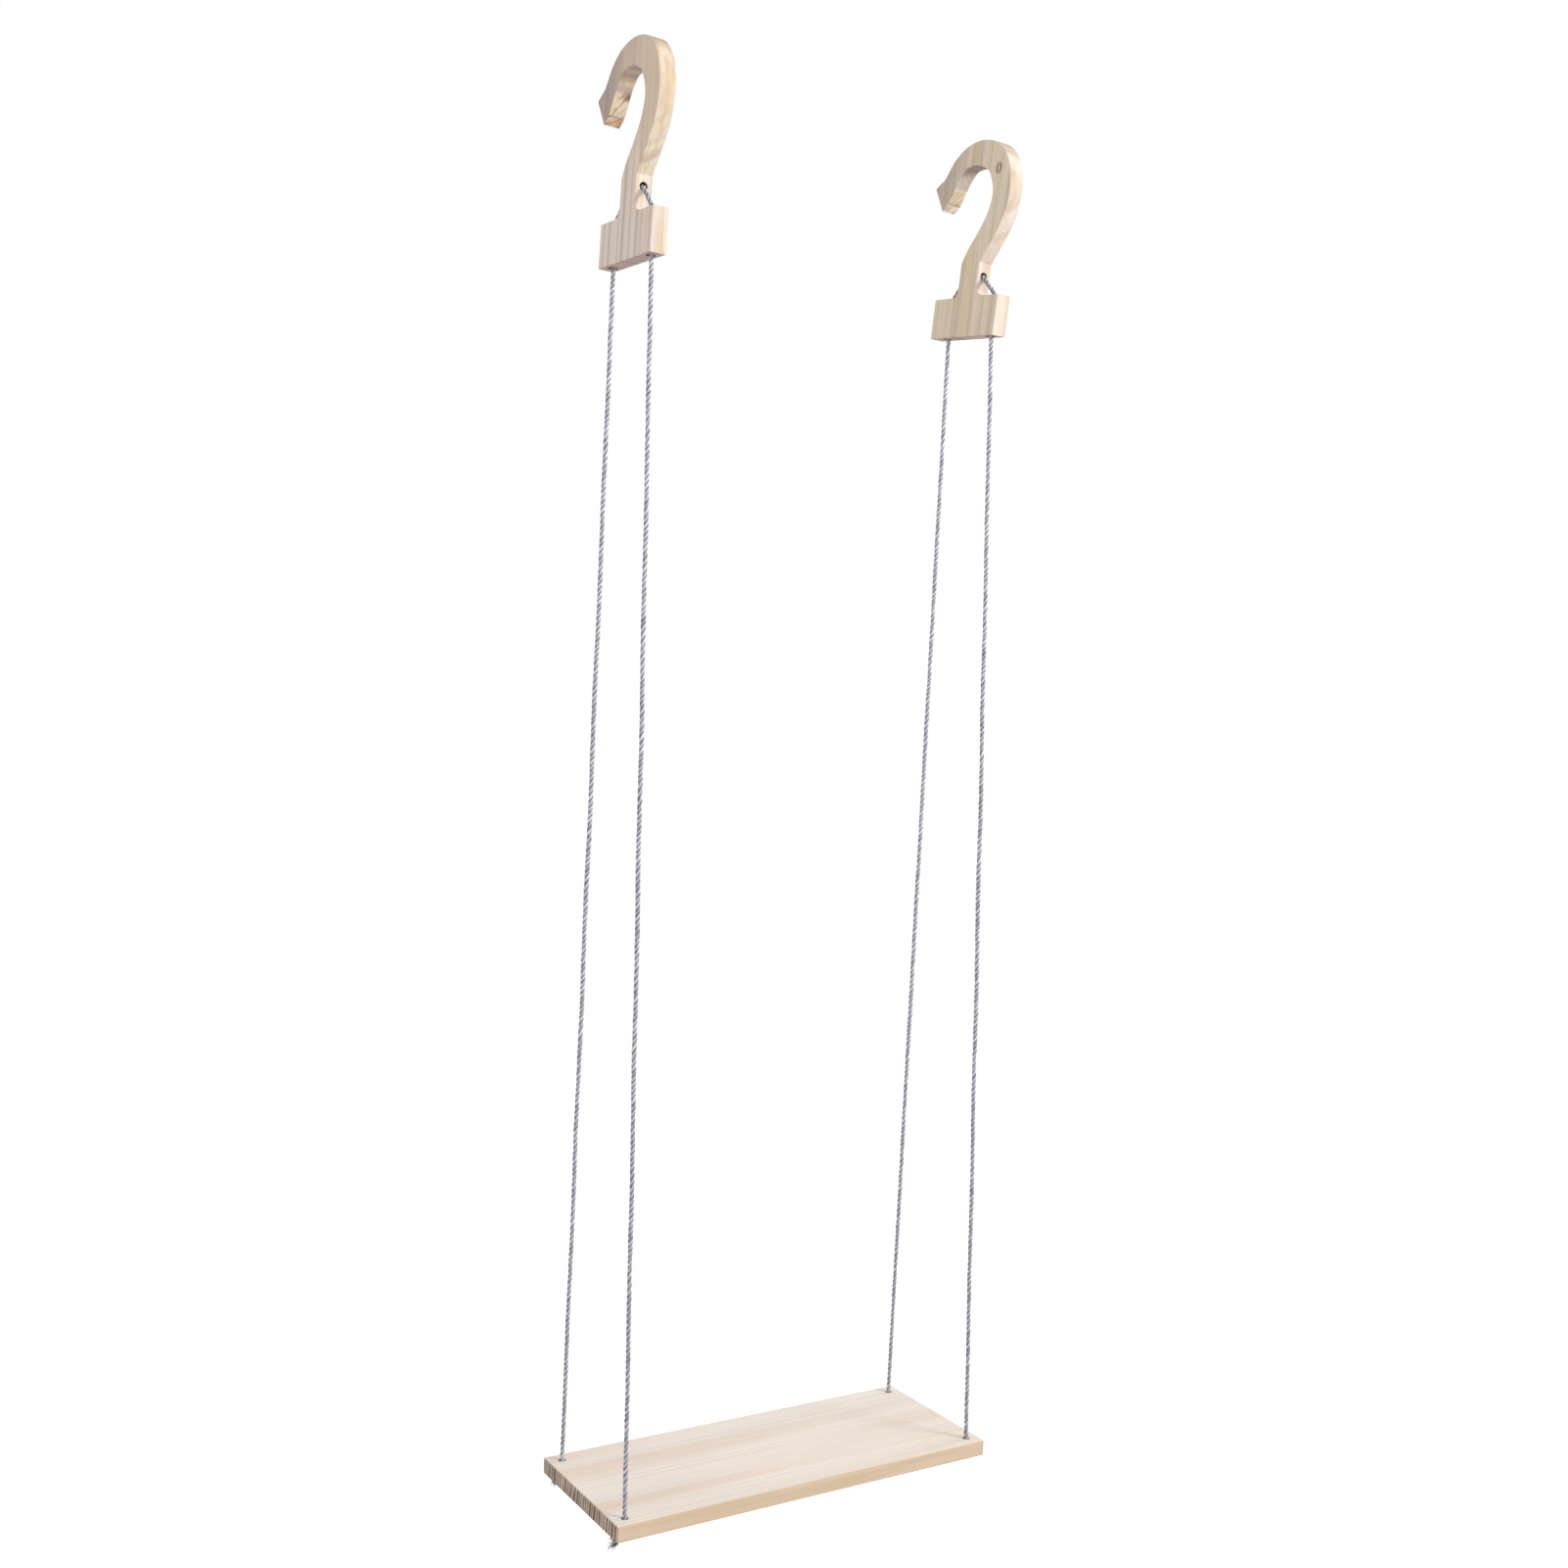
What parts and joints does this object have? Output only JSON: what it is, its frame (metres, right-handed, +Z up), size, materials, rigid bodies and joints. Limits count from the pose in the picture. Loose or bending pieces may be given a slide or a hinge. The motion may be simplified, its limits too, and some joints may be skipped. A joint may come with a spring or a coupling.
{
  "type": "hanging rope shelf",
  "caption": "Pine board slung at its corners from wooden question-mark hooks by thin twisted ropes, to hang over a rail.",
  "frame": {"origin": "on the rail line that both hooks hang from, where the saddles of their arches bear, midway between the two hooks", "axes": "+X along the board to the right as the picture shows it, +Y from the open side of the hooks' stems towards their tips, which is the back, +Z up"},
  "size_m": [0.4, 0.16, 1.2944],
  "materials": {
    "board_pine": "planed and sanded pale pine, unvarnished, long faint growth streaks, darker end grain",
    "hook_pine": "sawn and sanded pale pine, unvarnished, upright growth lines, eased edges",
    "rope": "grey twisted cotton rope of 3 strands, matt, slightly fuzzy"
  },
  "bodies": {
    "hooks": {"left_hook": "hook_pine", "right_hook": "hook_pine", "left_rope_loop": "rope", "right_rope_loop": "rope"},
    "left_falls": {"left_front_fall": "rope", "left_back_fall": "rope"},
    "right_falls": {"right_front_fall": "rope", "right_back_fall": "rope"},
    "shelf": {"shelf_board": "board_pine", "left_front_knot": "rope", "left_back_knot": "rope", "right_front_knot": "rope", "right_back_knot": "rope"}
  },
  "joints": [
    {"name": "left_sway", "type": "hinge", "parent": "hooks", "child": "left_falls", "pos_m": [-0.187, 0, -0.1719], "axis": [0, 1, 0], "range_deg": [-15, 15]},
    {"name": "right_sway", "type": "hinge", "parent": "hooks", "child": "right_falls", "pos_m": [0.187, 0, -0.1719], "axis": [0, 1, 0], "range_deg": [-15, 15]},
    {"name": "board_level", "type": "hinge", "parent": "left_falls", "child": "shelf", "pos_m": [-0.187, 0, -1.2515], "axis": [0, 1, 0], "range_deg": [-15, 15]}
  ],
  "couplings": [
    {"joint": "right_sway", "follows": "left_sway", "ratio": 1},
    {"joint": "board_level", "follows": "left_sway", "ratio": -1}
  ]
}
